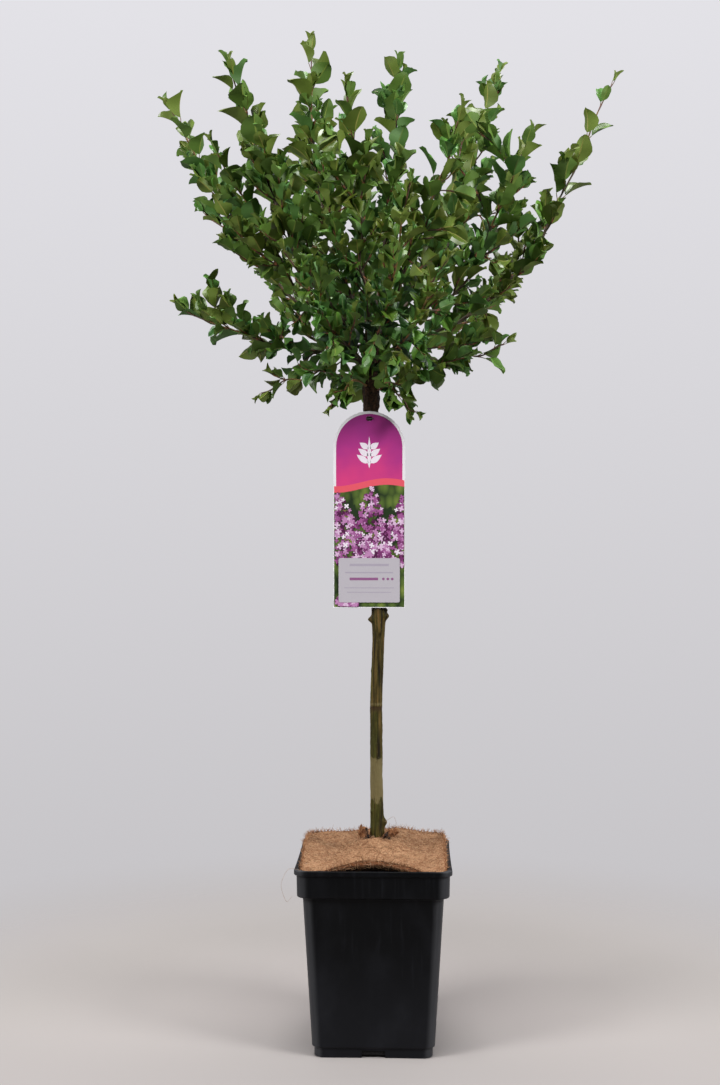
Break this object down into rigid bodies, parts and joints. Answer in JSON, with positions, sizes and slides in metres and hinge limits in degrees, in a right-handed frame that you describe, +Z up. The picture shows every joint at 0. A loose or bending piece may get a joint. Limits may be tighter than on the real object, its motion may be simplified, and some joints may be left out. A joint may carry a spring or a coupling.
{
  "type": "potted lilac bush, trained as a half-standard",
  "caption": "Young dwarf lilac on one bare stem, with an upswept open crown of limbs and leaf masses, in a square black nursery pot with a coir mat and a hanging card tag.",
  "frame": {"origin": "middle of the pot's flat underside", "axes": "+Z up along the stem, the front of the pot with the tag faces -Y, +X to the right seen from the front"},
  "size_m": [0.5281, 0.4118, 1.156],
  "materials": {
    "pot": "black moulded plastic with a soft satin sheen",
    "soil": "moist dark potting soil",
    "coir": "matted golden-brown coir fibre",
    "stem_bark": "olive-brown bark with lengthwise streaks",
    "limb_bark": "smooth red-brown young bark",
    "foliage": "glossy mid-green leaves with wavy margins",
    "card": "coated printed card",
    "tie": "pale plastic tie"
  },
  "bodies": {
    "root": {"pot": "pot", "soil": "soil", "coir_mat": "coir", "stem": "stem_bark", "tag_card": "card", "tag_tie": "tie", "limb_back": "limb_bark", "limb_back_left": "limb_bark", "limb_back_low_left": "limb_bark", "limb_back_low_right": "limb_bark", "limb_back_right": "limb_bark", "limb_centre_back": "limb_bark", "limb_centre_left": "limb_bark", "limb_front_low_left": "limb_bark", "limb_front_low_right": "limb_bark", "limb_front_right": "limb_bark", "limb_front_tall": "limb_bark", "limb_left_front": "limb_bark", "limb_left_low": "limb_bark", "limb_left_mid": "limb_bark", "limb_left_outer": "limb_bark", "limb_right_back": "limb_bark", "limb_right_front": "limb_bark", "limb_right_low": "limb_bark", "limb_right_mid": "limb_bark", "limb_right_outer": "limb_bark", "limb_skirt_back": "limb_bark", "limb_skirt_front": "limb_bark", "limb_skirt_left": "limb_bark", "limb_skirt_right": "limb_bark", "foliage_back": "foliage", "foliage_back_left": "foliage", "foliage_back_low_left": "foliage", "foliage_back_low_right": "foliage", "foliage_back_right": "foliage", "foliage_centre_back": "foliage", "foliage_centre_left": "foliage", "foliage_front_low_left": "foliage", "foliage_front_low_right": "foliage", "foliage_front_right": "foliage", "foliage_front_tall": "foliage", "foliage_left_front": "foliage", "foliage_left_low": "foliage", "foliage_left_mid": "foliage", "foliage_left_outer": "foliage", "foliage_right_back": "foliage", "foliage_right_front": "foliage", "foliage_right_low": "foliage", "foliage_right_mid": "foliage", "foliage_right_outer": "foliage", "foliage_skirt_back": "foliage", "foliage_skirt_front": "foliage", "foliage_skirt_left": "foliage", "foliage_skirt_right": "foliage"}
  },
  "joints": []
}
